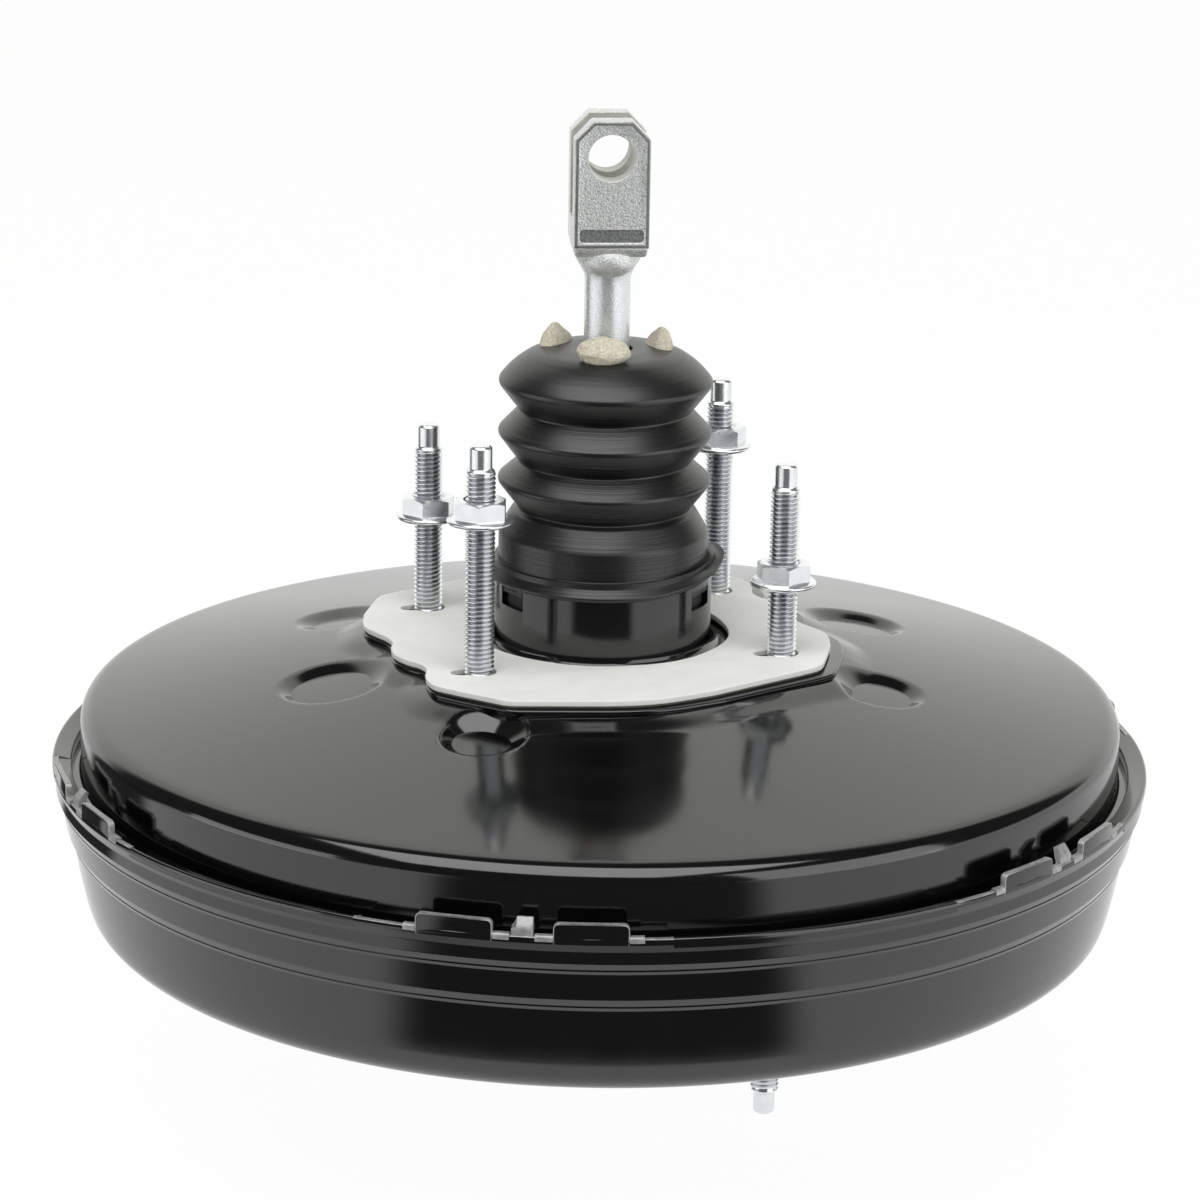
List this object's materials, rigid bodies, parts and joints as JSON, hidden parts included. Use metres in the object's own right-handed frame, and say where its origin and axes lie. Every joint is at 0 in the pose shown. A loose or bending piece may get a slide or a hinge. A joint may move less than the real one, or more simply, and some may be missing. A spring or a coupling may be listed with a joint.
{
  "type": "brake booster",
  "caption": "Round vacuum brake booster with clevis rod, rubber boot, mounting gasket, studs with flange nuts and a master cylinder pad.",
  "frame": {"origin": "on the booster's axis, in the outer face of the mounting gasket", "axes": "+Z along the axis to the pedal side, +X along the wider spacing of the rear studs"},
  "size_m": [0.2998, 0.2998, 0.2759],
  "materials": {
    "shell_paint": "gloss black stoving paint",
    "gasket_board": "matt off-white board",
    "zinc_steel": "bright zinc plate",
    "forged_zinc": "sandy zinc plated forging",
    "plain_steel": "plain pressed steel",
    "boot_rubber": "matt black rubber",
    "seal_rubber": "black rubber",
    "foam": "cream open cell foam",
    "valve_plastic": "black glass filled plastic",
    "port_plastic": "black plastic",
    "spring_steel": "oiled spring steel"
  },
  "bodies": {
    "housing": {"rear_shell": "shell_paint", "front_shell": "shell_paint", "mounting_gasket": "gasket_board", "rear_reinforcement": "plain_steel", "front_reinforcement": "plain_steel", "rear_studs_short": "zinc_steel", "rear_studs_long": "zinc_steel", "front_studs": "zinc_steel", "boot": "boot_rubber", "rear_seal": "seal_rubber", "seal_retainer": "valve_plastic", "return_spring": "spring_steel", "valve_grommet": "seal_rubber", "vacuum_check_valve": "port_plastic"},
    "power_piston": {"valve_body": "valve_plastic", "valve_key": "plain_steel", "poppet_valve": "seal_rubber", "poppet_retainer": "plain_steel", "air_filter": "foam", "poppet_spring": "spring_steel", "rod_return_spring": "spring_steel", "reaction_disc": "seal_rubber", "output_rod": "plain_steel", "output_rod_retainer": "plain_steel", "diaphragm_plate": "plain_steel", "diaphragm": "seal_rubber"},
    "air_valve": {"air_valve_plunger": "plain_steel"},
    "pedal_rod": {"input_rod": "forged_zinc", "boot_filter": "foam"},
    "nut_rear_left": {"flange_nut_1": "zinc_steel"},
    "nut_front_left": {"flange_nut_2": "zinc_steel"},
    "nut_front_right": {"flange_nut_3": "zinc_steel"},
    "nut_rear_right": {"flange_nut_4": "zinc_steel"}
  },
  "joints": [
    {"name": "power_stroke", "type": "slide", "parent": "housing", "child": "power_piston", "axis": [0, 0, -1], "range_m": [0, 0.035], "stiffness_N_per_m": 3000, "springref_m": -0.03, "deforming": ["return_spring", "diaphragm", "boot"]},
    {"name": "valve_lead", "type": "slide", "parent": "power_piston", "child": "air_valve", "axis": [0, 0, -1], "range_m": [0, 0.0016], "stiffness_N_per_m": 3000, "springref_m": -0.005, "deforming": ["rod_return_spring", "poppet_spring"]},
    {"name": "rod_tilt", "type": "hinge", "parent": "air_valve", "child": "pedal_rod", "pos_m": [0, 0, 0.002], "axis": [0.18, 0.9837, 0], "range_deg": [-3, 3], "stiffness_Nm_per_rad": 8},
    {"name": "nut_rear_left_travel", "type": "slide", "parent": "housing", "child": "nut_rear_left", "axis": [0, 0, 1], "range_m": [-0.0238, 0.0137]},
    {"name": "nut_front_left_travel", "type": "slide", "parent": "housing", "child": "nut_front_left", "axis": [0, 0, 1], "range_m": [-0.0387, 0.0079]},
    {"name": "nut_front_right_travel", "type": "slide", "parent": "housing", "child": "nut_front_right", "axis": [0, 0, 1], "range_m": [-0.0171, 0.0204]},
    {"name": "nut_rear_right_travel", "type": "slide", "parent": "housing", "child": "nut_rear_right", "axis": [0, 0, 1], "range_m": [-0.0398, 0.0068]}
  ]
}
